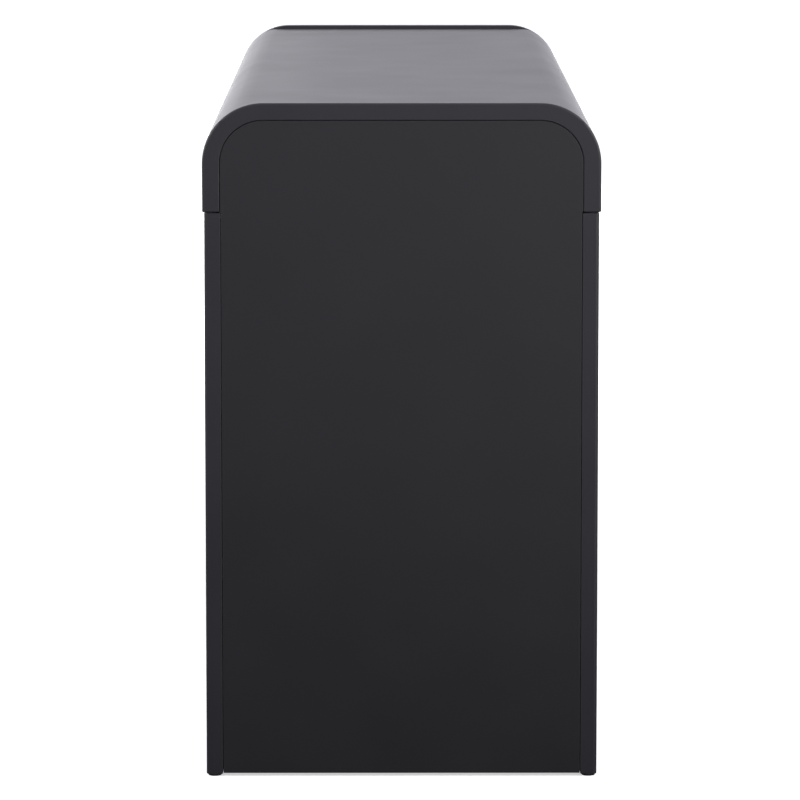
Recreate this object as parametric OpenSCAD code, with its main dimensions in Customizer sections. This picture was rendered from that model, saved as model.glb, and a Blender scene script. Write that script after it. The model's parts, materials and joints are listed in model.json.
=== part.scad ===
// Low dresser with a curved waterfall top and six inset drawers.
// Each drawer runs on a pair of three-part ball-bearing slides.
// Millimetres, +Z up. The drawer fronts face -Y and +X is the right-hand end.
// The origin is on the floor, below the middle of the dresser.

/* [Overall] */
// Length of the top, from end to end
length = 1524; // [1320:1:1800]
// Depth of the top, from front to rear
depth = 457; // [430:1:520]
// Height of the top above the floor
height = 783; // [740:1:860]

/* [Curved top] */
// Thickness of the bent top board
top_t = 20; // [18:0.5:22]
// Outer radius of the front and rear bends
bend_r = 70; // [50:1:90]
// How far the top's two legs reach down
top_drop = 125; // [115:1:150]
// Length of the raised rim at each end of the top
rim_len = 20; // [15:1:40]
// How far the flat surface lies below the rims
dish = 5; // [4:0.5:9]
// How far the top stands proud of the boards below it
top_proud = 2; // [1:0.5:3]
// Shadow gap under the top's two legs
shadow_gap = 1.3; // [1:0.1:3]

/* [Frame boards] */
// Thickness of the end panels, the partition and the rails
panel_t = 18; // [15:1:19]
// Thickness of the stiles, posts, plinth rails and drawer fronts
face_t = 19; // [18:1:22]
// Height of the top edge of the plinth rails and the carcass floor
base_top = 50; // [44:1:70]
// Thickness of the carcass floor
floor_t = 16; // [15:1:18]
// Thickness of the back panel
back_t = 5; // [3:1:6]
// How far the rear posts reach past the end panels' inner faces
post_overhang = 10; // [9:1:14]
// How far the back panel's edge runs into the posts and the plinth rail
back_rebate = 8; // [6:1:10]
// Width of the seam around the end panels
seam = 0.8; // [0.5:0.1:1.5]
// Depth of that seam
seam_depth = 3; // [2:0.5:4]

/* [Drawers] */
// Number of drawers above one another
rows = 3; // [3:1:3]
// Finger gap above each drawer front
finger_gap = 20; // [18:1:26]
// Play between a drawer front and the stiles
front_play = 2; // [1.5:0.5:3]
// Length of the drawer box behind the front
box_len = 390; // [370:5:395]
// Height of the box sides
box_h = 125; // [110:1:130]
// How far the box sits above the front's lower edge
box_lift = 12; // [10:1:16]
// Thickness of the box sides and the box back
box_t = 12; // [12:1:15]
// Thickness of the drawer bottom
bottom_t = 5; // [3:1:6]
// Depth of the grooves that hold the drawer bottom
groove_d = 6; // [4:1:7]
// Height of the drawer bottom above the lower edge of the sides
bottom_lift = 8; // [6:1:12]
// Slope cut off the front's top rear edge, for the fingers
grip_slope = 12; // [8:1:14]
// Distance from a drawer front's rear face to the rail behind its gap
grip_depth = 22; // [20:1:30]
// Height of the rails behind the finger gaps
rail_h = 60; // [50:1:62]

/* [Slides] */
// Length of each slide member
slide_len = 350; // [300:50:350]
// Width between the box side and the cabinet wall
slide_w = 12.7; // [12.7:0.1:13]
// Sheet thickness of the slide members
slide_gauge = 1.2; // [1:0.1:1.2]
// Height of the slide's centre above the front's lower edge
slide_lift = 60; // [50:1:70]

/* [Feet] */
// Height of the floor glides
glide_h = 3; // [3:0.5:4]
// Radius of the floor glides
glide_r = 8.3; // [7:0.1:9]

/* [Anti-tip brackets] */
// Radius of the strap hole in each bracket
strap_hole_r = 3.25; // [2.5:0.25:3.5]
// Sheet thickness of the brackets
bracket_t = 2; // [1.5:0.5:2]
// Room behind each strap hole, for the strap
strap_room = 8; // [6:1:9]

/* [Hidden] */
$fn = 96;
COLUMNS = ["left", "right"];
ROWS = ["lower", "centre", "upper"];
DRAWER_PIECES = ["front", "sides", "back", "bottom", "inner_slides", "linking_slides"];
FRAME_NODES = [
    "curved_top", "end_rims", "side_panel_left", "side_panel_right", "centre_partition",
    "front_stile_left", "front_stile_right", "front_stile_centre",
    "rear_post_left", "rear_post_right", "front_plinth_rail", "rear_plinth_rail",
    "carcass_floor", "back_panel", "front_rails_left", "front_rails_right",
    "rear_top_rails", "corner_blocks", "floor_glides", "cabinet_slides",
    "slide_screws", "anti_tip_brackets", "bracket_screws",
];

// Ends, fronts and heights of the frame
top_half_l = length / 2;
rim_x = top_half_l - rim_len;
end_x = top_half_l - top_proud;
wall_x = end_x - panel_t;
face_y = depth / 2 - top_proud;
inner_y = face_y - face_t;
leg_z = height - top_drop;
stile_top = leg_z - shadow_gap;
under_top = height - top_t;
panel_gap_r = bend_r - top_t - (depth / 2 - top_t - inner_y);
foot_gap = 1;

// Inner ends of the openings in the front and in the rear
mid_wall = panel_t / 2;
post_x = wall_x - post_overhang;

// Drawer heights and box sizes
pitch = (leg_z - base_top - front_play) / rows;
front_h = pitch - finger_gap;
front_in = mid_wall + front_play;
front_out = wall_x - front_play;
box_in = mid_wall + slide_w;
box_out = wall_x - slide_w;
box_end = -inner_y + box_len;
rail_y = -inner_y + grip_depth;
box_to_rail = 9;
rail_lift = box_lift + box_h + box_to_rail;

// Slide section: distances from the cabinet wall, and outer heights
slide_start = -inner_y + 2;
slide_x = [[0, 9.5], [3, 11], [slide_w, 6]];
slide_section_h = [45, 37, 28];
slide_lag = 2;
screw_pitch = 128;
screw_r = 1.75;
screw_head = [3.5, 1.4];
screw_len = 9;
screw_play = 0.05;

// Brackets on the rear, one behind the middle of each bay
bay_mid = (mid_wall + wall_x) / 2;
back_y = inner_y + back_t;
bracket_w = 50;
bracket_h = 24;
bracket_z = leg_z - 28;
tab_w = 20;
tab_h = 22;
strap_hole_drop = 12;
bracket_screw_x = 17;
bracket_screw_r = 2.2;
bracket_screw_head = [4, 2.2];
bracket_screw_len = 20;
rear_rail_z = [bracket_z - 2, bracket_z + 58];
block = [36, 18, 18];
block_y = 100;
block_screw_r = 2;

// A straight board, given by its two limits along each axis
module board(x, y, z) {
    translate([x[0], y[0], z[0]]) cube([x[1] - x[0], y[1] - y[0], z[1] - z[0]]);
}

// Stretches an outline in the Y-Z plane along X
module along_x(x) {
    translate([x[0], 0, 0]) rotate([90, 0, 90]) linear_extrude(x[1] - x[0]) children();
}

// Stretches an outline in the X-Z plane along Y
module along_y(y) {
    translate([0, y[1], 0]) rotate([90, 0, 0]) linear_extrude(y[1] - y[0]) children();
}

// Builds a right-hand piece, or its mirror image for the left-hand end
module on_side(column) {
    mirror([column == "left" ? 1 : 0, 0, 0]) children();
}

// Repeats its child at both ends of the dresser
module both_ends() {
    for (column = COLUMNS)
        on_side(column) children();
}

// Arch outline: straight legs, a flat top and round shoulders
module arch(half_w, bottom, top, r) {
    intersection() {
        translate([-half_w, bottom]) square([2 * half_w, top - bottom]);
        union() {
            translate([-half_w, bottom]) square([2 * half_w, top - r - bottom]);
            translate([r - half_w, bottom]) square([2 * (half_w - r), top - bottom]);
            for (side = [-1, 1])
                translate([side * (half_w - r), top - r]) circle(r);
        }
    }
}

// Bent board, its flat surface sunk between the end rims
module curved_top() {
    color("#2b2b2e")
        along_x([-rim_x, rim_x])
            difference() {
                intersection() {
                    arch(depth / 2, leg_z, height, bend_r);
                    translate([-depth / 2, leg_z]) square([depth, height - dish - leg_z]);
                }
                arch(depth / 2 - top_t, leg_z - 1, under_top, bend_r - top_t);
            }
}

// Bent rim at each end, which stands a little above the flat surface
module end_rims() {
    color("#2b2b2e")
        both_ends()
            along_x([rim_x, top_half_l])
                difference() {
                    arch(depth / 2, leg_z, height, bend_r);
                    arch(depth / 2 - top_t, leg_z - 1, under_top, bend_r - top_t);
                }
}

// End panel with a fine seam where it meets the stile, the post and the top
module side_panel(column) {
    flat_half = inner_y - panel_gap_r;
    seam_x = [end_x - seam_depth, end_x + 1];
    color("#26262a")
        on_side(column)
            difference() {
                along_x([wall_x, end_x]) arch(inner_y, glide_h + foot_gap, under_top, panel_gap_r);
                for (side = [0, 1])
                    mirror([0, side, 0])
                        board(seam_x, [inner_y - seam, inner_y + 1], [0, stile_top]);
                board(seam_x, [-flat_half, flat_half], [under_top - seam, under_top + 1]);
            }
}

module side_panel_left() {
    side_panel("left");
}

module side_panel_right() {
    side_panel("right");
}

module centre_partition() {
    color("#303034")
        along_x([-mid_wall, mid_wall]) arch(inner_y, base_top, under_top, panel_gap_r);
}

module front_stile(x) {
    board(x, [-face_y, -inner_y], [glide_h, stile_top]);
}

module front_stile_left() {
    color("#2b2b2e") front_stile([-end_x, -wall_x]);
}

module front_stile_right() {
    color("#2b2b2e") front_stile([wall_x, end_x]);
}

// The middle stile stands on the plinth rail
module front_stile_centre() {
    color("#2b2b2e") board([-mid_wall, mid_wall], [-face_y, -inner_y], [base_top, stile_top]);
}

// Rear post, rebated along its inner edge for the back panel
module rear_post(column) {
    color("#2b2b2e")
        on_side(column)
            difference() {
                board([post_x, end_x], [inner_y, face_y], [glide_h, stile_top]);
                board([post_x - 1, post_x + back_rebate], [inner_y - 1, back_y],
                      [base_top - back_rebate, stile_top + 1]);
            }
}

module rear_post_left() {
    rear_post("left");
}

module rear_post_right() {
    rear_post("right");
}

module front_plinth_rail() {
    color("#2b2b2e") board([-wall_x, wall_x], [-face_y, -inner_y], [glide_h, base_top]);
}

module rear_plinth_rail() {
    color("#2b2b2e")
        difference() {
            board([-post_x, post_x], [inner_y, face_y], [glide_h, base_top]);
            board([-post_x - 1, post_x + 1], [inner_y - 1, back_y],
                  [base_top - back_rebate, base_top + 1]);
        }
}

module carcass_floor() {
    color("#303034") board([-wall_x, wall_x], [-inner_y, inner_y], [base_top - floor_t, base_top]);
}

module back_panel() {
    color("#3a3836")
        board([-post_x - back_rebate, post_x + back_rebate], [inner_y, back_y],
              [base_top - back_rebate, stile_top]);
}

// The rails behind the three finger gaps of one column
module front_rails(column) {
    color("#303034")
        on_side(column)
            for (row = [0 : rows - 1]) {
                z = base_top + front_play + row * pitch + rail_lift;
                board([mid_wall, wall_x], [rail_y, rail_y + panel_t], [z, z + rail_h]);
            }
}

module front_rails_left() {
    front_rails("left");
}

module front_rails_right() {
    front_rails("right");
}

// Rails that carry the back panel's top edge
module rear_top_rails() {
    color("#303034")
        both_ends()
            board([mid_wall, wall_x], [inner_y - panel_t, inner_y], rear_rail_z);
}

// Plastic blocks that screw the top to the end panels and the partition
module corner_blocks() {
    color("#1d1d1f")
        both_ends()
            for (x = [mid_wall, wall_x - block[1]], y = [-block_y, block_y])
                difference() {
                    board([x, x + block[1]], [y - block[0] / 2, y + block[0] / 2],
                          [under_top - block[2], under_top]);
                    translate([x + block[1] / 2, y, under_top - block[2] - 1])
                        cylinder(h = block[2] + 2, r = block_screw_r);
                }
}

// Low domed glides: one at each corner and one at the middle of each plinth rail
module floor_glides() {
    glide_y = (inner_y + face_y) / 2;
    glide_x = (wall_x + end_x) / 2;
    tread_h = glide_h / 2;
    color("#141414")
        for (x = [-glide_x, 0, glide_x], y = [-glide_y, glide_y])
            translate([x, y, 0]) {
                cylinder(h = tread_h, r1 = glide_r - tread_h, r2 = glide_r);
                translate([0, 0, tread_h]) cylinder(h = glide_h - tread_h, r = glide_r);
            }
}

// C-shaped section from its web to its open edge, centred on the slide's height
module channel(x, h) {
    inward = sign(x[1] - x[0]);
    difference() {
        translate([min(x), -h / 2]) square([abs(x[1] - x[0]), h]);
        translate([min(x) + inward * slide_gauge, slide_gauge - h / 2])
            square([abs(x[1] - x[0]), h - 2 * slide_gauge]);
    }
}

// One slide member on each wall of a right-hand bay, for the given row
module slide_pair(row, member, start) {
    z = base_top + front_play + row * pitch + slide_lift;
    translate([mid_wall, 0, z])
        along_y([start, start + slide_len]) channel(slide_x[member], slide_section_h[member]);
    translate([wall_x, 0, z])
        mirror([1, 0, 0])
            along_y([start, start + slide_len]) channel(slide_x[member], slide_section_h[member]);
}

// Places its child at each screw of the cabinet slides, pointing into the wall
module at_slide_screws() {
    both_ends()
        for (row = [0 : rows - 1], step = [0 : 2]) {
            z = base_top + front_play + row * pitch + slide_lift;
            y = slide_start + slide_len / 2 + (step - 1) * screw_pitch;
            translate([mid_wall + slide_gauge, y, z]) rotate([0, -90, 0]) children();
            translate([wall_x - slide_gauge, y, z]) rotate([0, 90, 0]) children();
        }
}

module cabinet_slides() {
    color("#b9bcc0")
        difference() {
            both_ends()
                for (row = [0 : rows - 1])
                    slide_pair(row, 0, slide_start);
            at_slide_screws() translate([0, 0, -1]) cylinder(h = slide_gauge + 2, r = screw_r + screw_play);
        }
}

module slide_screws() {
    color("#8f9296")
        at_slide_screws() {
            cylinder(h = screw_len, r = screw_r);
            translate([0, 0, -screw_head[1]]) cylinder(h = screw_head[1], r = screw_head[0]);
        }
}

// Places its child at each anti-tip bracket, on the rear of the back panel
module at_brackets() {
    for (x = [-bay_mid, bay_mid])
        translate([x, back_y, bracket_z]) children();
}

// Places its child at each bracket screw, pointing into the rear top rail
module at_bracket_screws() {
    at_brackets()
        for (side = [-1, 1])
            translate([side * bracket_screw_x, bracket_t, bracket_h / 2]) rotate([90, 0, 0]) children();
}

// Steel bracket: a plate with two screw holes, and a tab with a strap hole that stands off below it
module anti_tip_brackets() {
    tab_y = [strap_room, strap_room + bracket_t];
    color("#b9bcc0")
        difference() {
            at_brackets() {
                board([-bracket_w / 2, bracket_w / 2], [0, bracket_t], [0, bracket_h]);
                board([-tab_w / 2, tab_w / 2], [0, tab_y[1]], [0, bracket_t]);
                board([-tab_w / 2, tab_w / 2], tab_y, [-tab_h, bracket_t]);
            }
            at_brackets()
                translate([0, tab_y[1] + 1, -strap_hole_drop])
                    rotate([90, 0, 0]) cylinder(h = bracket_t + 2, r = strap_hole_r);
            at_bracket_screws()
                translate([0, 0, -1]) cylinder(h = bracket_t + 2, r = bracket_screw_r + screw_play);
        }
}

module bracket_screws() {
    color("#8f9296")
        at_bracket_screws() {
            cylinder(h = bracket_screw_len, r = bracket_screw_r);
            translate([0, 0, -bracket_screw_head[1]])
                cylinder(h = bracket_screw_head[1], r = bracket_screw_head[0]);
        }
}

// Places a drawer piece of the right-hand column in its row and column
module in_bay(row, column) {
    on_side(column) translate([0, 0, base_top + front_play + row * pitch]) children();
}

// The drawer bottom, also used as the cutter for its grooves
module drawer_bottom_board() {
    board([box_in + box_t - groove_d, box_out - box_t + groove_d], [-inner_y - groove_d, box_end],
          [box_lift + bottom_lift, box_lift + bottom_lift + bottom_t]);
}

// Drawer front with a sloped top rear edge, so that fingers hook behind it
module drawer_front(row, column) {
    color("#2b2b2e")
        in_bay(row, column)
            difference() {
                along_x([front_in, front_out])
                    polygon([[-face_y, 0], [-inner_y, 0], [-inner_y, front_h - grip_slope],
                             [-inner_y - grip_slope, front_h], [-face_y, front_h]]);
                drawer_bottom_board();
            }
}

module drawer_sides(row, column) {
    color("#55565a")
        in_bay(row, column)
            difference() {
                for (x = [box_in, box_out - box_t])
                    board([x, x + box_t], [-inner_y, box_end], [box_lift, box_lift + box_h]);
                drawer_bottom_board();
            }
}

// The box back stands on the drawer bottom, between the sides
module drawer_back(row, column) {
    color("#55565a")
        in_bay(row, column)
            board([box_in + box_t, box_out - box_t], [box_end - box_t, box_end],
                  [box_lift + bottom_lift + bottom_t, box_lift + box_h]);
}

module drawer_bottom(row, column) {
    color("#4a4b4f") in_bay(row, column) drawer_bottom_board();
}

// Slide members screwed to the box sides
module inner_slides(row, column) {
    color("#b9bcc0") on_side(column) slide_pair(row, 2, slide_start);
}

// Middle members, which link the other two and run half as far as the drawer
module linking_slides(row, column) {
    color("#a9acb0") on_side(column) slide_pair(row, 1, slide_start + slide_lag);
}

curved_top();
end_rims();
side_panel_left();
side_panel_right();
centre_partition();
front_stile_left();
front_stile_right();
front_stile_centre();
rear_post_left();
rear_post_right();
front_plinth_rail();
rear_plinth_rail();
carcass_floor();
back_panel();
front_rails_left();
front_rails_right();
rear_top_rails();
corner_blocks();
floor_glides();
cabinet_slides();
slide_screws();
anti_tip_brackets();
bracket_screws();
for (row = [0 : rows - 1], column = COLUMNS) {
    drawer = str(ROWS[row], "_", column);
    drawer_front(row, column);
    drawer_sides(row, column);
    drawer_back(row, column);
    drawer_bottom(row, column);
    inner_slides(row, column);
    linking_slides(row, column);
}
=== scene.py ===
"""The looks of a low black dresser: rounded boards, small fittings, a plain studio and the camera."""

import json
import math

import bmesh
import bpy
from mathutils import Matrix, Vector


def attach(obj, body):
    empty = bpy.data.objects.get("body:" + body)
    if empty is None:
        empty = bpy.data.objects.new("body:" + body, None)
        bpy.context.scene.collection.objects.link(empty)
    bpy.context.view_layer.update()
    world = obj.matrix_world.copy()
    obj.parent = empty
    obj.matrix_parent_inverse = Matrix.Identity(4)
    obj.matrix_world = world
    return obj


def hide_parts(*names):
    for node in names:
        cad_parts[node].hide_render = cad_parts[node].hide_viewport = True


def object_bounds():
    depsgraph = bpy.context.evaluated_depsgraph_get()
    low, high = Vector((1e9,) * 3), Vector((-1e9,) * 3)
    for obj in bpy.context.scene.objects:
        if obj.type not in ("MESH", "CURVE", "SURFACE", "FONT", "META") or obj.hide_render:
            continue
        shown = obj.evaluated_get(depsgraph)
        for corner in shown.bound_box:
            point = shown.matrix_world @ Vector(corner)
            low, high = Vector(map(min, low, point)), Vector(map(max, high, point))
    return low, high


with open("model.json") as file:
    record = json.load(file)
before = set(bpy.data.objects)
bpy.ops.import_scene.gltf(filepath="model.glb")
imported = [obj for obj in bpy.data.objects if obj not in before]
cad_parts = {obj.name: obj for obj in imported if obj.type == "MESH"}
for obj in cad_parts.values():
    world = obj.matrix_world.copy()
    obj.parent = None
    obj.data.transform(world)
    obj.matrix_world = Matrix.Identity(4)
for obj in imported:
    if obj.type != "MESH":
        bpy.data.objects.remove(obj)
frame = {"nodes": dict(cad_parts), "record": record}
cad_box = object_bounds()

MM = 0.001
ROWS = ("lower", "centre", "upper")
COLUMNS = ("left", "right")
SIDES = {"left": -1, "right": 1}

# Places in the CAD, in millimetres
TOP_HALF_L = 762  # half the length of the top
TOP_HALF_W = 228.5  # half its depth
TOP_H = 783  # top of its rims
FLAT_H = 778  # its flat, between the rims
TOP_T = 20  # its thickness
TOP_BEND = 70  # outer radius of its bends
TOP_LEG = 658  # lower end of its legs
RIM_LEN = 20
END_X = 760  # outer faces of the end panels and edge boards
WALL_X = 742  # inner faces of the end panels
MID_WALL = 9  # faces of the centre partition
POST_X = 732  # inner side of the rear posts
REBATE_X = 740  # side of their rebate for the back panel
FACE_Y = 226.5  # outer faces of the edge boards
INNER_Y = 207.5  # their inner faces
BACK_Y = 212.5  # outer face of the back panel
GLIDE_H = 3  # lower end of the edge boards
STILE_TOP = 656.7  # their upper end
PANEL_FOOT = 4  # lower edge of the end panels
FIRST_FRONT_Z = 52  # lower edge of the lowest drawer fronts
PITCH = 202  # from one row of drawers to the next
BOX_T = 12  # thickness of the boards of the drawer boxes
BOX_BACK_Y = 176.5  # middle of the back board of a drawer box
CAM_Y = -183.5  # cams in the sides of a drawer box, behind its front
SLIDE_LIFT = 60  # middle of a slide above its front's lower edge
SLIDE_GAUGE = 1.2  # steel of the cabinet members
MEMBER_FACE = 11.5  # face that the screws of a drawer member stand on, from the wall
BOX_FACE = 12.7  # face of a drawer box, from the wall
SLIDE_SCREW_Y = (-158.5, -30.5, 97.5)
BRACKET_X = 375.5  # middle of the anti-tip brackets

# Shaped more finely here than in the CAD, in millimetres
TOP_END_X = 760.8  # ends of the top
OUTER_EASE = 2.5  # arris along the top's outer edge
FINE_EASE = 1.2  # its other arrises
LEG_SEAM = 0.45  # shadow lines between the end panel and the top's legs,
TOP_SEAM = 0.15  # the underside of the top,
POST_SEAM = 0.7  # and the edge boards
PANEL_EASE = 0.3
BOARD_EASE = 0.4
BOARD_CORNER = 4  # outer corners of the edge boards


# ---------------------------------------------------------------- materials

class Shader:
    """A node material under construction: one Principled shader and the nodes that feed it."""

    def __init__(self, name, **values):
        self.material = bpy.data.materials.new(name)
        self.material.use_nodes = True
        self.tree = self.material.node_tree
        self.tree.nodes.clear()
        self.bsdf = self.add("ShaderNodeBsdfPrincipled", **values)
        output = self.add("ShaderNodeOutputMaterial")
        self.link(self.bsdf, "BSDF", output, "Surface")
        self.place = self.add("ShaderNodeTexCoord")

    def add(self, kind, **values):
        node = self.tree.nodes.new(kind)
        for key, value in values.items():
            node.inputs[key].default_value = value
        return node

    def calc(self, operation, kind="ShaderNodeMath"):
        node = self.add(kind)
        node.operation = operation
        return node

    def link(self, source, out, target, into):
        self.tree.links.new(source.outputs[out], target.inputs[into])

    def noise(self, scale, detail=4.0, roughness=0.5, stretch=(1, 1, 1)):
        """Noise in object space, so that it stays on the piece as it moves."""
        mapping = self.add("ShaderNodeMapping", Scale=stretch)
        noise = self.add("ShaderNodeTexNoise", Scale=scale, Detail=detail, Roughness=roughness)
        self.link(self.place, "Object", mapping, "Vector")
        self.link(mapping, "Vector", noise, "Vector")
        return noise

    def spread(self, source, out, low, high, start=0.3, end=0.7):
        """Maps start to end onto low to high."""
        node = self.add(
            "ShaderNodeMapRange",
            **{"From Min": start, "From Max": end, "To Min": low, "To Max": high},
        )
        self.link(source, out, node, "Value")
        return node

    def tones(self, source, low, high, out="Fac", start=0.3, end=0.7):
        """Blends two colours by a node's value."""
        node = self.add("ShaderNodeMixRGB", Color1=(*low, 1), Color2=(*high, 1))
        self.link(self.spread(source, out, 0, 1, start, end), "Result", node, "Fac")
        return node

    def lay_over(self, below, factor, above):
        """Lays a colour over another where a factor says."""
        node = self.add("ShaderNodeMixRGB", Color2=(*above, 1))
        self.link(factor, "Result", node, "Fac")
        self.link(below, "Color", node, "Color1")
        return node

    def arris_highlight_mask(self, radius, low=0.02, high=0.25):
        """1 along the arrises, 0 on the flats: where a painted highlight goes."""
        bevel = self.add("ShaderNodeBevel", Radius=radius)
        flat = self.add("ShaderNodeNewGeometry")
        dot = self.calc("DOT_PRODUCT", "ShaderNodeVectorMath")
        self.link(bevel, "Normal", dot, 0)
        self.link(flat, "Normal", dot, 1)
        return self.spread(dot, "Value", 0, 1, 1 - low, 1 - high)

    def bump(self, height, out, distance):
        node = self.add("ShaderNodeBump", Distance=distance)
        self.link(height, out, node, "Height")
        return node

    def finish(self, colour, roughness, relief):
        """Feeds the shader and gives the material."""
        self.link(colour, "Color", self.bsdf, "Base Color")
        self.link(roughness, "Result", self.bsdf, "Roughness")
        self.link(relief, "Normal", self.bsdf, "Normal")
        return self.material


def lacquer(name, tone):
    """Satin black lacquer on board: faint orange peel and haze, with a painted highlight that lays a
    slightly lighter colour along the arrises.
    """
    s = Shader(name, IOR=1.5)
    haze = s.noise(9.0, detail=6.0)
    peel = s.noise(900.0, detail=2.0)
    dark = [tone * level for level in (0.0062, 0.0061, 0.0082)]
    light = [tone * level for level in (0.0074, 0.0073, 0.0098)]
    # Painted highlight: a lighter colour laid along the arrises, where they would catch the light
    with_arris_highlight = s.lay_over(s.tones(haze, dark, light), s.arris_highlight_mask(1.2 * MM), (0.040, 0.040, 0.042))
    return s.finish(with_arris_highlight, s.spread(haze, "Fac", 0.41, 0.44), s.bump(peel, "Fac", 0.02 * MM))


def carcass_board():
    """Black melamine facing with a fine pressed texture."""
    s = Shader("black_melamine", IOR=1.48)
    haze = s.noise(14.0)
    grain = s.noise(600.0, detail=3.0, stretch=(0.15, 1, 1))
    colour = s.tones(haze, (0.017, 0.017, 0.018), (0.040, 0.040, 0.042))
    return s.finish(colour, s.spread(grain, "Fac", 0.48, 0.60), s.bump(grain, "Fac", 0.05 * MM))


def box_board():
    """Dark grey melamine of the drawer boxes, with a linen-like pressing."""
    s = Shader("grey_melamine", IOR=1.48)
    haze = s.noise(11.0)
    warp = s.noise(1400.0, detail=1.0, stretch=(1, 0.05, 1))
    weft = s.noise(1400.0, detail=1.0, stretch=(0.05, 1, 0.05))
    linen = s.calc("ADD")
    s.link(warp, "Fac", linen, 0)
    s.link(weft, "Fac", linen, 1)
    colour = s.tones(haze, (0.060, 0.061, 0.064), (0.074, 0.075, 0.078))
    roughness = s.spread(linen, "Value", 0.45, 0.58, 0.7, 1.3)
    return s.finish(colour, roughness, s.bump(linen, "Value", 0.05 * MM))


def hardboard():
    """Dark foil on thin hardboard, slightly mottled."""
    s = Shader("foiled_hardboard", IOR=1.45)
    mottle = s.noise(60.0, detail=8.0, roughness=0.6)
    fibre = s.noise(700.0, detail=3.0)
    colour = s.tones(mottle, (0.030, 0.029, 0.028), (0.044, 0.042, 0.040))
    return s.finish(colour, s.spread(fibre, "Fac", 0.55, 0.70), s.bump(fibre, "Fac", 0.08 * MM))


def zinc_steel():
    """Bright zinc plate on rolled strip: drawn lines along the slide, cloudy tone."""
    s = Shader("zinc_plated_steel", Metallic=1.0)
    cloud = s.noise(40.0, detail=5.0)
    lines = s.noise(800.0, detail=2.0, stretch=(1, 0.01, 1))
    colour = s.tones(cloud, (0.50, 0.51, 0.53), (0.62, 0.63, 0.64))
    return s.finish(colour, s.spread(lines, "Fac", 0.26, 0.42), s.bump(lines, "Fac", 0.02 * MM))


def screw_steel():
    """Duller zinc of the screws."""
    s = Shader("zinc_screw", Metallic=1.0)
    cloud = s.noise(300.0, detail=4.0)
    colour = s.tones(cloud, (0.33, 0.33, 0.34), (0.46, 0.46, 0.47))
    return s.finish(colour, s.spread(cloud, "Fac", 0.32, 0.48), s.bump(cloud, "Fac", 0.03 * MM))


def black_plastic():
    """Moulded matte plastic with a fine spark-eroded texture."""
    s = Shader("black_moulded_plastic", IOR=1.46)
    cloud = s.noise(80.0)
    spark = s.noise(2500.0, detail=2.0)
    colour = s.tones(cloud, (0.010, 0.010, 0.010), (0.016, 0.016, 0.016))
    return s.finish(colour, s.spread(spark, "Fac", 0.50, 0.66), s.bump(spark, "Fac", 0.04 * MM))


MATERIALS = {
    "lacquer": lacquer("satin_black_lacquer", 1.0),
    # A lit copy of the lacquer, painted 1.7 times lighter: painted light for the top and the edge boards,
    # which look lighter where they catch more light
    "lacquer_painted_lighter": lacquer("satin_black_lacquer_painted_lighter", 1.7),
    "carcass_board": carcass_board(),
    "box_board": box_board(),
    "hardboard": hardboard(),
    "zinc_steel": zinc_steel(),
    "screw_steel": screw_steel(),
    "black_plastic": black_plastic(),
}
# Width of the eased arris on the CAD nodes of each slot
ARRIS = {
    "lacquer": 1.2 * MM,
    "carcass_board": 0.6 * MM,
    "box_board": 0.6 * MM,
    "hardboard": 0.3 * MM,
    "zinc_steel": 0.25 * MM,
    "screw_steel": 0.3 * MM,
    "black_plastic": 0.5 * MM,
}
# CAD nodes that finer pieces stand for
REPLACED = {
    "curved_top", "end_rims", "side_panel_left", "side_panel_right",
    "front_stile_left", "front_stile_right", "rear_post_left", "rear_post_right",
    "slide_screws", "bracket_screws", "floor_glides",
}


def dress(name, slot):
    """Gives a CAD node its material and eases its arrises."""
    node = frame["nodes"][name]
    node.data.materials.clear()
    node.data.materials.append(MATERIALS[slot])
    weld = node.modifiers.new("weld", "WELD")
    weld.merge_threshold = 0.01 * MM
    bevel = node.modifiers.new("arris", "BEVEL")
    bevel.width = ARRIS[slot]
    bevel.segments = 3
    bevel.limit_method = "ANGLE"
    bevel.angle_limit = math.radians(40)
    bevel.harden_normals = True
    bevel.use_clamp_overlap = True


for subpart in frame["record"]["subparts"]:
    if subpart["node"] not in REPLACED:
        dress(subpart["node"], subpart["material_slot"])


# ---------------------------------------------------------------- mesh makers

EASE_STEPS = 4
BEND_STEPS = 32
TURN_STEPS = 28
CORNER_STEPS = 4
WIDE_RADIUS = 10  # a corner wider than this counts as a bend
SAME_PLACE = 1e-7  # metres
QUARTER_TURN = [math.pi / 2 * k / EASE_STEPS for k in range(EASE_STEPS + 1)]
AXES = {
    "x": lambda u, v, w: Vector((w, u, v)),
    "y": lambda u, v, w: Vector((v, w, u)),
    "z": lambda u, v, w: Vector((u, v, w)),
}


def outline(corners, ease):
    """Points of a rounded outline with their outward normals, drawn in by the width of its arris.

    Each corner is (u, v, radius), in counterclockwise order.
    """
    points = []
    for i, (u, v, radius) in enumerate(corners):
        here = Vector((u, v))
        onto = (here - Vector(corners[i - 1][:2])).normalized()
        away = (Vector(corners[(i + 1) % len(corners)][:2]) - here).normalized()
        turn = math.atan2(onto.cross(away), onto.dot(away))
        bulge = math.copysign(1, turn)
        radius = max(radius, ease)
        normal = Vector((onto.y, -onto.x))
        centre = here - onto * radius * math.tan(abs(turn) / 2) - normal * radius * bulge
        steps = BEND_STEPS if radius > WIDE_RADIUS else CORNER_STEPS if turn else 0
        for k in range(steps + 1):
            turned = Matrix.Rotation(turn * k / max(steps, 1), 2) @ normal
            points.append((centre + turned * (radius * bulge - ease), turned))
    return points


def circle():
    """Unit vectors once round, in the plane z = 0."""
    angles = [2 * math.pi * k / TURN_STEPS for k in range(TURN_STEPS)]
    return [Vector((math.cos(a), math.sin(a), 0)) for a in angles]


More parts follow.
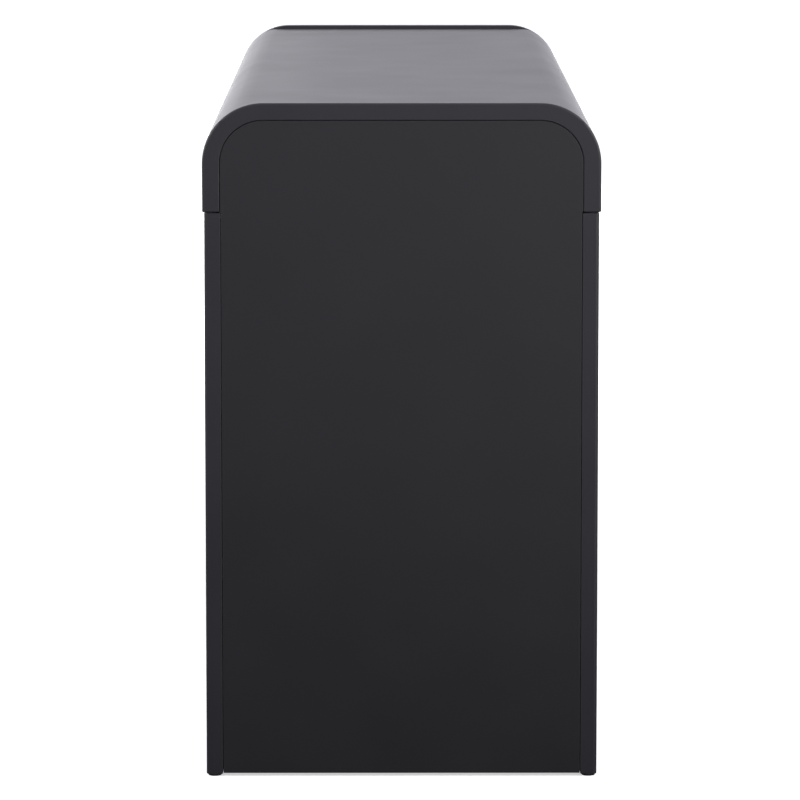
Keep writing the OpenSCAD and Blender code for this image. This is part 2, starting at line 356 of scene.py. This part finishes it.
class Mesh:
    """Collects faces in millimetres, with a true normal at each point."""

    def __init__(self):
        self.bm = bmesh.new()
        self.bm.verts.layers.float_vector.new("true_normal")

    def point(self, place, normal):
        vert = self.bm.verts.new(place * MM)
        vert[self.bm.verts.layers.float_vector["true_normal"]] = normal
        return vert

    def face(self, *verts):
        kept = list(dict.fromkeys(verts))
        if len(kept) > 2:
            self.bm.faces.new(kept)

    def rings(self, rings, closed_ends=True):
        """Joins rings of points, the first facing back and the last facing forward."""
        for below, above in zip(rings, rings[1:]):
            for i in range(len(below)):
                j = (i + 1) % len(below)
                self.face(below[i], below[j], above[j], above[i])
        if closed_ends:
            self.face(*reversed(rings[0]))
            self.face(*rings[-1])

    def prism(self, corners, axis, low, high, ease, ease_at=None):
        """A board with a rounded outline, drawn out along an axis, its end arrises eased.

        ease_at gives the end arris at a point from its place and normal.
        """
        points = [(p, n, ease_at(p, n) if ease_at else ease) for p, n in outline(corners, ease)]
        place = AXES[axis]
        along = place(0, 0, 1)
        levels = [(low, -1, t) for t in reversed(QUARTER_TURN)] + [(high, 1, t) for t in QUARTER_TURN]
        rings = []
        for level, facing, t in levels:
            ring = []
            for base, normal, round_off in points:
                flat = base + normal * (ease - round_off * (1 - math.cos(t)))
                spot = place(flat.x, flat.y, level - facing * round_off * (1 - math.sin(t)))
                if ring and (ring[-1].co - spot * MM).length < SAME_PLACE:
                    ring.append(ring[-1])
                    continue
                out = place(normal.x, normal.y, 0) * math.cos(t) + along * facing * math.sin(t)
                ring.append(self.point(spot, out))
            rings.append(ring)
        self.rings(rings)

    def lathe(self, profile, place):
        """Turns a profile of (radius, height) about +Z, then puts it in place."""
        spin = place.to_3x3()
        rings = []
        for i, (radius, height) in enumerate(profile):
            before = Vector(profile[max(i - 1, 0)])
            after = Vector(profile[min(i + 1, len(profile) - 1)])
            slope = (after - before).normalized()
            ring = []
            for flat in circle():
                spot = place @ (flat * radius + Vector((0, 0, height)))
                out = spin @ (flat * slope.y - Vector((0, 0, slope.x)))
                ring.append(self.point(spot, out))
            rings.append(ring)
        self.rings(rings)

    def screw(self, place, radius, height, shank=0.0, shank_radius=1.5):
        """A pan head that stands on the plane z = 0 of its place, with a cross recess, and its shank."""
        rim = [(1.0, 0.0), (1.0, 0.35), (0.96, 0.62), (0.86, 0.84), (0.70, 0.96), (0.56, 1.0)]
        spin = place.to_3x3()
        up = spin @ Vector((0, 0, 1))
        rings = []
        for share, rise in rim:
            tilt = 0.0 if rise < 0.4 else (1.0 - share) * 2 + 0.4
            lift = Vector((0, 0, height * rise))
            ring = []
            for flat in circle():
                out = (spin @ flat) * math.cos(tilt) + up * math.sin(tilt)
                ring.append(self.point(place @ (flat * radius * share + lift), out))
            rings.append(ring)
        self.rings(rings, closed_ends=False)
        base = [self.point(vert.co / MM, -up) for vert in rings[0]]
        if shank:
            self.collar(base, place, shank, shank_radius)
        else:
            self.face(*reversed(base))
        self.recess(rings[-1], place, radius, height)

    def collar(self, base, place, shank, shank_radius):
        """The underside of a head, and the shank with its point."""
        spin = place.to_3x3()
        rings = [base]
        for share, depth in [(1.0, 0.0), (1.0, shank - 2.0), (0.25, shank)]:
            ring = []
            for flat in circle():
                spot = flat * shank_radius * share - Vector((0, 0, depth))
                ring.append(self.point(place @ spot, spin @ flat))
            rings.append(ring)
        for upper, lower in zip(rings, rings[1:]):
            for i in range(len(upper)):
                j = (i + 1) % len(upper)
                self.face(upper[j], upper[i], lower[i], lower[j])
        self.face(*reversed(rings[-1]))

    def recess(self, rim, place, radius, height):
        """Closes a head's top round a tapered cross recess."""
        spin = place.to_3x3()
        up = spin @ Vector((0, 0, 1))
        reach, arm = radius * 0.46, radius * 0.11
        taper, depth = 0.6, 0.55
        cross = []
        for quarter in range(4):
            turned = Matrix.Rotation(quarter * math.pi / 2, 2)
            for u, v in [(arm, -arm), (reach, -arm), (reach, arm)]:
                cross.append((turned @ Vector((u, v))).to_3d())
        lift = Vector((0, 0, height))
        mouth = [self.point(place @ (p + lift), up) for p in cross]
        walls = [self.point(place @ (p + lift), spin @ -p.normalized()) for p in cross]
        floor = [self.point(place @ (p * taper + lift * (1 - depth)), up) for p in cross]
        count = len(cross)
        edges = [self.bm.edges.new((mouth[i], mouth[(i + 1) % count])) for i in range(count)]
        edges += [self.bm.edges.get((rim[i], rim[(i + 1) % len(rim)])) for i in range(len(rim))]
        before = set(self.bm.faces)
        bmesh.ops.triangle_fill(self.bm, use_beauty=True, use_dissolve=False, edges=edges, normal=up)
        for face in set(self.bm.faces) - before:
            face.normal_update()
            if face.normal.dot(up) < 0:
                face.normal_flip()
        for i in range(count):
            j = (i + 1) % count
            self.face(walls[i], walls[j], floor[j], floor[i])
        self.face(*floor)

    def ball(self, place, radius):
        made = bmesh.ops.create_icosphere(
            self.bm, subdivisions=2, radius=radius * MM, matrix=Matrix.Translation(place * MM)
        )
        layer = self.bm.verts.layers.float_vector["true_normal"]
        for vert in made["verts"]:
            vert[layer] = (vert.co - place * MM).normalized()

    def piece(self, name, body, slot, replaced=(), finish=None):
        """Turns the faces into an object that rides on a body."""
        layer = self.bm.verts.layers.float_vector["true_normal"]
        normals = [vert[layer].copy() for vert in self.bm.verts]
        self.bm.verts.layers.float_vector.remove(layer)
        mesh = bpy.data.meshes.new(name)
        self.bm.to_mesh(mesh)
        self.bm.free()
        for polygon in mesh.polygons:
            polygon.use_smooth = True
        mesh.normals_split_custom_set_from_vertices(normals)
        mesh.materials.append(MATERIALS[finish or slot])
        obj = bpy.data.objects.new(name, mesh)
        bpy.context.collection.objects.link(obj)
        if replaced:
            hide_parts(*replaced)
        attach(obj, body)


# ---------------------------------------------------------------- lacquered boards

def top_outline():
    """The full outline of the curved top, as at its rims, with the arris at each point."""
    half, inner, under = TOP_HALF_W, TOP_HALF_W - TOP_T, TOP_H - TOP_T
    tip, tip_radius = TOP_LEG + 5, 1.4
    corners = [
        (-half, TOP_LEG, tip_radius), (-inner, TOP_LEG, FINE_EASE),
        (-inner, under, TOP_BEND - TOP_T), (inner, under, TOP_BEND - TOP_T),
        (inner, TOP_LEG, FINE_EASE), (half, TOP_LEG, tip_radius), (half, tip, 0),
        (half, TOP_H, TOP_BEND), (-half, TOP_H, TOP_BEND), (-half, tip, 0),
    ]
    full = outline(corners, 0)
    eases = []
    for p, n in full:
        outside = max(abs(p.x) - inner, p.y - under) > 1 and p.y > tip - 1
        eases.append(OUTER_EASE if outside else FINE_EASE)
    return full, eases


def dished(point, normal):
    """Where a point of the top's full outline lies between the rims, and its normal there.

    A wide fillet joins the sunk flat to the shoulders.
    """
    fillet, fillet_y, shoulder_y = 35, 176.5, 194.6
    y = abs(point.x)
    if normal.y <= 0 or y >= shoulder_y:
        return point, normal
    if y <= fillet_y:
        return Vector((point.x, FLAT_H)), Vector((0, 1))
    across = (y - fillet_y) / fillet
    out = Vector((math.copysign(across, point.x), math.sqrt(1 - across ** 2)))
    return Vector((point.x, FLAT_H - fillet + fillet * out.y)), out


def top_rings(full, eases, sunk, gaps):
    """Rings of one half of the top, from its rim outward.

    Each ring is a list of (x, point, normal, tilt of the normal along X).
    """
    rim_x = TOP_HALF_L - RIM_LEN
    rings = [[(rim_x, p, n, tilt) for p, n in sunk] for tilt in (0, -math.pi / 2)]
    for t in QUARTER_TURN:
        ring = []
        for (p, n), gap in zip(full, gaps):
            ease = min(1.0, gap)
            spot = p - n * ease * (1 - math.sin(t))
            ring.append((rim_x + ease * (1 - math.cos(t)), spot, n, t - math.pi / 2))
        rings.append(ring)
    for t in QUARTER_TURN:
        ring = []
        for (p, n), ease in zip(full, eases):
            spot = p - n * ease * (1 - math.cos(t))
            ring.append((TOP_END_X - ease * (1 - math.sin(t)), spot, n, t))
        rings.append(ring)
    return rings


def half_top(mesh, rings, gaps, side):
    """Points of one half of the top. Where it isn't sunk, rings that meet share their points."""
    made = []
    for ring in rings:
        made.append([])
        for i, (x, p, n, tilt) in enumerate(ring):
            spot = Vector((side * x, p.x, p.y))
            out = Vector((side * math.sin(tilt), n.x * math.cos(tilt), n.y * math.cos(tilt)))
            near = [made[-2][i]] if len(made) > 1 and gaps[i] < 0.001 else []
            near += made[-1][-1:]
            same = [vert for vert in near if (vert.co - spot * MM).length < SAME_PLACE]
            made[-1].append(same[0] if same else mesh.point(spot, out))
    return made


def curved_top():
    """One bent board: a flat sunk a little between two end rims, round shoulders and two short legs."""
    full, eases = top_outline()
    sunk = [dished(p, n) for p, n in full]
    gaps = [(f[0] - d[0]).length for f, d in zip(full, sunk)]
    rings = top_rings(full, eases, sunk, gaps)
    mesh = Mesh()
    left, right = [half_top(mesh, rings, gaps, side) for side in (-1, 1)]
    mesh.rings(left[::-1] + right)
    # The top gets the lit copy of the lacquer, painted lighter
    mesh.piece("bent_top_board", "carcass", "lacquer", ["curved_top", "end_rims"], finish="lacquer_painted_lighter")


def panel_ease(point, normal):
    """The end panel's arris is wider beside the top's legs, where it catches the light."""
    beside_leg = point.y >= STILE_TOP + 1.5
    return PANEL_EASE + (0.5 * abs(normal.x) if beside_leg else 0)


def side_panel(column):
    """End panel that fills the arch of the top down to a thin shadow line."""
    low_w, high_w = INNER_Y - POST_SEAM, TOP_HALF_W - TOP_T - LEG_SEAM
    top_z, bend = TOP_H - TOP_T - TOP_SEAM, TOP_BEND - TOP_T - LEG_SEAM
    half = [
        (low_w, PANEL_FOOT, PANEL_EASE), (low_w, STILE_TOP + 0.3, PANEL_EASE),
        (high_w, STILE_TOP + 2.3, 1.0), (high_w, top_z, bend),
    ]
    corners = half + [(-u, v, radius) for u, v, radius in reversed(half)]
    mesh = Mesh()
    ends = sorted(SIDES[column] * x for x in (WALL_X, END_X))
    mesh.prism(corners, "x", *ends, PANEL_EASE, panel_ease)
    mesh.piece(f"end_panel_{column}", "carcass", "lacquer", [f"side_panel_{column}"])


def mirrored(corners, side):
    """The same outline on the other end, still counterclockwise."""
    if side > 0:
        return corners
    return [(-u, v, radius) for u, v, radius in reversed(corners)]


def edge_board(corners, column, name, node):
    mesh = Mesh()
    mesh.prism(mirrored(corners, SIDES[column]), "z", GLIDE_H, STILE_TOP, BOARD_EASE)
    # The edge boards get the lit copy of the lacquer, painted lighter
    mesh.piece(f"{name}_{column}", "carcass", "lacquer", [f"{node}_{column}"], finish="lacquer_painted_lighter")


def edge_boards(column):
    """The front stile and the rebated rear post of one end, their outer corners rounder than the rest."""
    stile = [
        (WALL_X, -FACE_Y, 1.0), (END_X, -FACE_Y, BOARD_CORNER), (END_X, -INNER_Y, BOARD_EASE),
        (WALL_X, -INNER_Y, 0.6),
    ]
    edge_board(stile, column, "front_edge_board", "front_stile")
    post = [
        (REBATE_X, INNER_Y, 0.6), (END_X, INNER_Y, BOARD_EASE), (END_X, FACE_Y, BOARD_CORNER),
        (POST_X, FACE_Y, 1.0), (POST_X, BACK_Y, 0.5), (REBATE_X, BACK_Y, 0.1),
    ]
    edge_board(post, column, "rear_edge_board", "rear_post")


# ---------------------------------------------------------------- fixings and slides

def facing(x, y, z, direction):
    """A place at (x, y, z), in millimetres, whose +Z looks in a direction."""
    turn = Vector(direction).to_track_quat("Z", "Y").to_matrix().to_4x4()
    return Matrix.Translation((x, y, z)) @ turn


def bay_walls(column):
    """The two cabinet walls of a column, each as its X and the direction that points into the bay."""
    side = SIDES[column]
    return [(side * MID_WALL, side), (side * WALL_X, -side)]


def front_z(row):
    return FIRST_FRONT_Z + PITCH * ROWS.index(row)


def slide_screws():
    """Pan-head screws that hold the cabinet members to the walls."""
    mesh = Mesh()
    for row in ROWS:
        z = front_z(row) + SLIDE_LIFT
        for column in COLUMNS:
            for wall, inward in bay_walls(column):
                for y in SLIDE_SCREW_Y:
                    place = facing(wall + inward * SLIDE_GAUGE, y, z, (inward, 0, 0))
                    mesh.screw(place, 3.5, 1.4, shank=9, shank_radius=1.7)
    mesh.piece("cabinet_slide_screws", "carcass", "screw_steel", ["slide_screws"])


def bracket_screws():
    """The four larger screws of the anti-tip brackets."""
    mesh = Mesh()
    plate_y, z = BACK_Y + 2, 642
    for bay in (-BRACKET_X, BRACKET_X):
        for side in (-17, 17):
            mesh.screw(facing(bay + side, plate_y, z, (0, 1, 0)), 4.0, 2.2, shank=20, shank_radius=2.2)
    mesh.piece("anti_tip_screws", "carcass", "screw_steel", ["bracket_screws"])


def back_fixings():
    """Small screws along the back panel's top edge and up its middle. Its other edges sit in rebates."""
    mesh = Mesh()
    top_z = 648
    spots = [(0, z) for z in range(96, 640, 90)]
    spots += [(side * x, top_z) for side in (-1, 1) for x in (96, 220, 530, 650)]
    for x, z in spots:
        mesh.screw(facing(x, BACK_Y, z, (0, 1, 0)), 2.8, 1.1)
    mesh.piece("back_panel_screws", "carcass", "screw_steel")


def block_screws():
    """The screw under each corner block."""
    mesh = Mesh()
    under_block = 745
    for side in (-1, 1):
        for x in (18, 733):
            for y in (-100, 100):
                mesh.screw(facing(side * x, y, under_block, (0, 0, -1)), 3.6, 1.6)
    mesh.piece("corner_block_screws", "carcass", "screw_steel")


def channel(wall, inward, z, reach, half_h, gauge):
    """Outline of a C-shaped strip in the (z, x) plane, open towards the bay."""
    near, far = reach
    corners = [
        (-half_h, near, gauge), (half_h, near, gauge), (half_h, far, 0), (half_h - gauge, far, 0),
        (half_h - gauge, near + gauge, 0.3), (gauge - half_h, near + gauge, 0.3),
        (gauge - half_h, far, 0), (-half_h, far, 0),
    ]
    if inward < 0:
        corners = reversed(corners)
    return [(z + lift, wall + inward * x, radius) for lift, x, radius in corners]


def ball_cages(row, column):
    """Both ball retainers of each slide. They stay inside the linking member as it runs out."""
    cages, balls = Mesh(), Mesh()
    z = front_z(row) + SLIDE_LIFT
    gauge = 0.5
    for wall, inward in bay_walls(column):
        cages.prism(channel(wall, inward, z, (1.8, 8.6), 20.15, gauge), "y", 0, 140, 0.1)
        cages.prism(channel(wall, inward, z, (4.7, 10.4), 15.9, gauge), "y", -196, -50, 0.1)
        for side in (-1, 1):
            for step in range(6):
                outer = Vector((wall + inward * 6.6, 10 + 24 * step, z + side * 19.9))
                balls.ball(outer, 1.25)
                inner = Vector((wall + inward * 8.6, -186 + 25 * step, z + side * 15.65))
                balls.ball(inner, 1.4)
    body = f"{row}_{column}_link"
    cages.piece(f"{row}_{column}_ball_cages", body, "zinc_steel")
    balls.piece(f"{row}_{column}_balls", body, "screw_steel")


def release_levers(row, column):
    """Plastic lever in each drawer member, which frees the drawer from its slide."""
    mesh = Mesh()
    z = front_z(row) + SLIDE_LIFT
    lever = [
        (-176, -3.5, 1.5), (-150, -5.5, 6), (-120, -8, 8), (-104, -8, 3), (-104, 2, 3),
        (-122, 5.5, 8), (-176, 3.5, 1.5),
    ]
    catch = [(-112, -3, 1.5), (-106, -3, 1.5), (-106, 1, 1.5), (-112, 1, 1.5)]
    for wall, inward in bay_walls(column):
        for shape, near, far, ease in [(lever, 9.9, 11.4, 0.3), (catch, 8.6, 10.4, 0.4)]:
            ends = sorted(wall + inward * x for x in (near, far))
            mesh.prism([(y, z + lift, r) for y, lift, r in shape], "x", *ends, ease)
    mesh.piece(f"{row}_{column}_release_levers", f"{row}_{column}_drawer", "black_plastic")


def drawer_fixings(row, column):
    """Screws of the drawer members, the cams behind the front and the screws into the box back."""
    mesh = Mesh()
    base = front_z(row)
    for wall, inward in bay_walls(column):
        outward = (-inward, 0, 0)
        for y in (-192, -64, 72):
            mesh.screw(facing(wall + inward * MEMBER_FACE, y, base + SLIDE_LIFT, outward), 3.0, 1.0)
        box_face = wall + inward * BOX_FACE
        for lift in (52, 108):
            mesh.screw(facing(box_face, BOX_BACK_Y, base + lift, outward), 3.4, 0.7)
            cam = facing(box_face + inward * BOX_T, CAM_Y, base + lift, (inward, 0, 0))
            mesh.screw(cam, 7.0, 0.6)
    mesh.piece(f"{row}_{column}_fixings", f"{row}_{column}_drawer", "screw_steel")


def glides():
    """Nail-on glides with a rounded tread and a sunk nail head."""
    mesh = Mesh()
    tread = [
        (0.05, 0.9), (1.7, 0.9), (2.0, 0.75), (2.3, 0.2), (2.7, 0.0), (6.2, 0.0), (7.1, 0.25),
        (7.8, 0.8), (8.2, 1.5), (8.3, 2.2), (8.15, 2.8), (8.0, GLIDE_H), (0.05, GLIDE_H),
    ]
    for x in (-751, 0, 751):
        for y in (-217, 217):
            mesh.lathe(tread, Matrix.Translation((x, y, 0)))
    mesh.piece("nail_on_glides", "carcass", "black_plastic", ["floor_glides"])


curved_top()
for column in COLUMNS:
    side_panel(column)
    edge_boards(column)
slide_screws()
bracket_screws()
back_fixings()
block_screws()
glides()
for row in ROWS:
    for column in COLUMNS:
        ball_cages(row, column)
        release_levers(row, column)
        drawer_fixings(row, column)


# ---------------------------------------------------------------- studio

def world_ramp(tree, source, low, high, at_low, at_high):
    """Maps low to high onto at_low to at_high."""
    ramp = tree.nodes.new("ShaderNodeMapRange")
    for key, value in {"From Min": low, "From Max": high, "To Min": at_low, "To Max": at_high}.items():
        ramp.inputs[key].default_value = value
    tree.links.new(source, ramp.inputs["Value"])
    return ramp


def make_world():
    """A white room to the camera.

    To everything else it is bluish, brighter behind the far end and dimmer overhead.
    """
    world = bpy.data.worlds.new("studio")
    bpy.context.scene.world = world
    world.use_nodes = True
    tree = world.node_tree
    tree.nodes.clear()
    link = tree.links.new
    coord = tree.nodes.new("ShaderNodeTexCoord")
    split = tree.nodes.new("ShaderNodeSeparateXYZ")
    link(coord.outputs["Generated"], split.inputs[0])
    along = world_ramp(tree, split.outputs["X"], -0.7, 0.8, 1.33, 0.90)
    along.interpolation_type = "SMOOTHSTEP"
    height = world_ramp(tree, split.outputs["Z"], 0.2, 0.75, 1.0, 0.4)
    glow = tree.nodes.new("ShaderNodeMath")
    glow.operation = "MULTIPLY"
    link(along.outputs["Result"], glow.inputs[0])
    link(height.outputs["Result"], glow.inputs[1])
    light = tree.nodes.new("ShaderNodeBackground")
    light.inputs["Color"].default_value = (0.93, 0.92, 1.0, 1)
    link(glow.outputs[0], light.inputs["Strength"])
    white = tree.nodes.new("ShaderNodeBackground")
    white.inputs["Color"].default_value = (1, 1, 1, 1)
    path = tree.nodes.new("ShaderNodeLightPath")
    mix = tree.nodes.new("ShaderNodeMixShader")
    link(path.outputs["Is Camera Ray"], mix.inputs[0])
    link(light.outputs[0], mix.inputs[1])
    link(white.outputs[0], mix.inputs[2])
    out = tree.nodes.new("ShaderNodeOutputWorld")
    link(mix.outputs[0], out.inputs["Surface"])


def floor_material():
    """White paint to the camera. To everything else it carries a painted shadow that darkens it near the
    object's near end, so its light on the object fades there.
    """
    s = Shader("pale_floor", IOR=1.4, Roughness=0.9, **{"Specular IOR Level": 0.1})
    white = s.tones(s.noise(3.0), (0.90, 0.90, 0.90), (0.92, 0.92, 0.92))
    away = s.calc("DISTANCE", "ShaderNodeVectorMath")
    away.inputs[1].default_value = (1.2, -0.1, 0)
    s.link(s.place, "Object", away, 0)
    # Painted shadow: nearly black within 1.2 m of a point in front of the near end, pale beyond 4.9 m;
    # only rays other than the camera's see it
    shade = s.tones(away, (0.02, 0.02, 0.021), (0.95, 0.95, 0.97), "Value", 1.2, 4.9)
    path = s.add("ShaderNodeLightPath")
    seen = s.add("ShaderNodeMixRGB")
    s.link(path, "Is Camera Ray", seen, "Fac")
    s.link(shade, "Color", seen, "Color1")
    s.link(white, "Color", seen, "Color2")
    s.link(seen, "Color", s.bsdf, "Base Color")
    s.bsdf.inputs["Emission Color"].default_value = (1, 1, 1, 1)
    lift = s.calc("MULTIPLY")
    lift.inputs[1].default_value = 0.55
    s.link(path, "Is Camera Ray", lift, 0)
    s.link(lift, "Value", s.bsdf, "Emission Strength")
    return s.material


def make_floor():
    """A large pale floor."""
    half = 40.0
    corners = [(-half, -half, 0), (half, -half, 0), (half, half, 0), (-half, half, 0)]
    mesh = bpy.data.meshes.new("floor")
    mesh.from_pydata(corners, [], [(0, 1, 2, 3)])
    floor = bpy.data.objects.new("floor", mesh)
    bpy.context.collection.objects.link(floor)
    mesh.materials.append(floor_material())


def area_light(name, place, aim, size, power):
    data = bpy.data.lights.new(name, "AREA")
    data.shape = "RECTANGLE"
    data.size, data.size_y = size
    data.energy = power
    lamp = bpy.data.objects.new(name, data)
    lamp.location = place
    lamp.rotation_mode = "QUATERNION"
    lamp.rotation_quaternion = (Vector(aim) - Vector(place)).to_track_quat("-Z", "Y")
    bpy.context.collection.objects.link(lamp)


make_world()
make_floor()
area_light("overhead", (0.6, 0, 3.4), (0, 0, 0.4), (3.5, 2.5), 25)
area_light("front_softbox", (2.4, -3.2, 2.4), (0.4, 0, 0.6), (2.6, 2.6), 70)
area_light("rear_softbox", (2.4, 3.2, 2.4), (0.4, 0, 0.6), (2.6, 2.6), 80)
area_light("low_glow", (-6.0, -0.4, 0.38), (0, 0, 0.38), (6.0, 0.7), 75)
area_light("far_card", (-6.0, -0.95, 1.05), (0, -0.2, 0.78), (1.4, 1.2), 7.5)
area_light("end_fill", (3.6, 1.7, 1.0), (0.76, 0.1, 0.6), (1.6, 1.6), 18)
area_light("floor_wash", (-4.6, 0, 0.7), (-4.6, 0, 0), (4.0, 5.0), 90)


# ---------------------------------------------------------------- camera

def make_camera():
    """Looks slightly down at the right-hand end from a few metres away, through a long lens."""
    distance, aside, height = 5.608, -0.0132, 1.2018
    tilt, pan = 7.7205, 0.1155
    data = bpy.data.cameras.new("camera")
    data.sensor_width = 36.0
    data.lens = 221.55
    data.clip_start, data.clip_end = 0.1, 100
    camera = bpy.data.objects.new("camera", data)
    bpy.context.collection.objects.link(camera)
    end_x = cad_box[1][0]
    camera.location = (end_x + distance, aside, height)
    camera.rotation_euler = (math.radians(90 - tilt), 0, math.radians(90 - pan))
    bpy.context.scene.camera = camera


make_camera()
bpy.context.scene.view_settings.view_transform = "Standard"
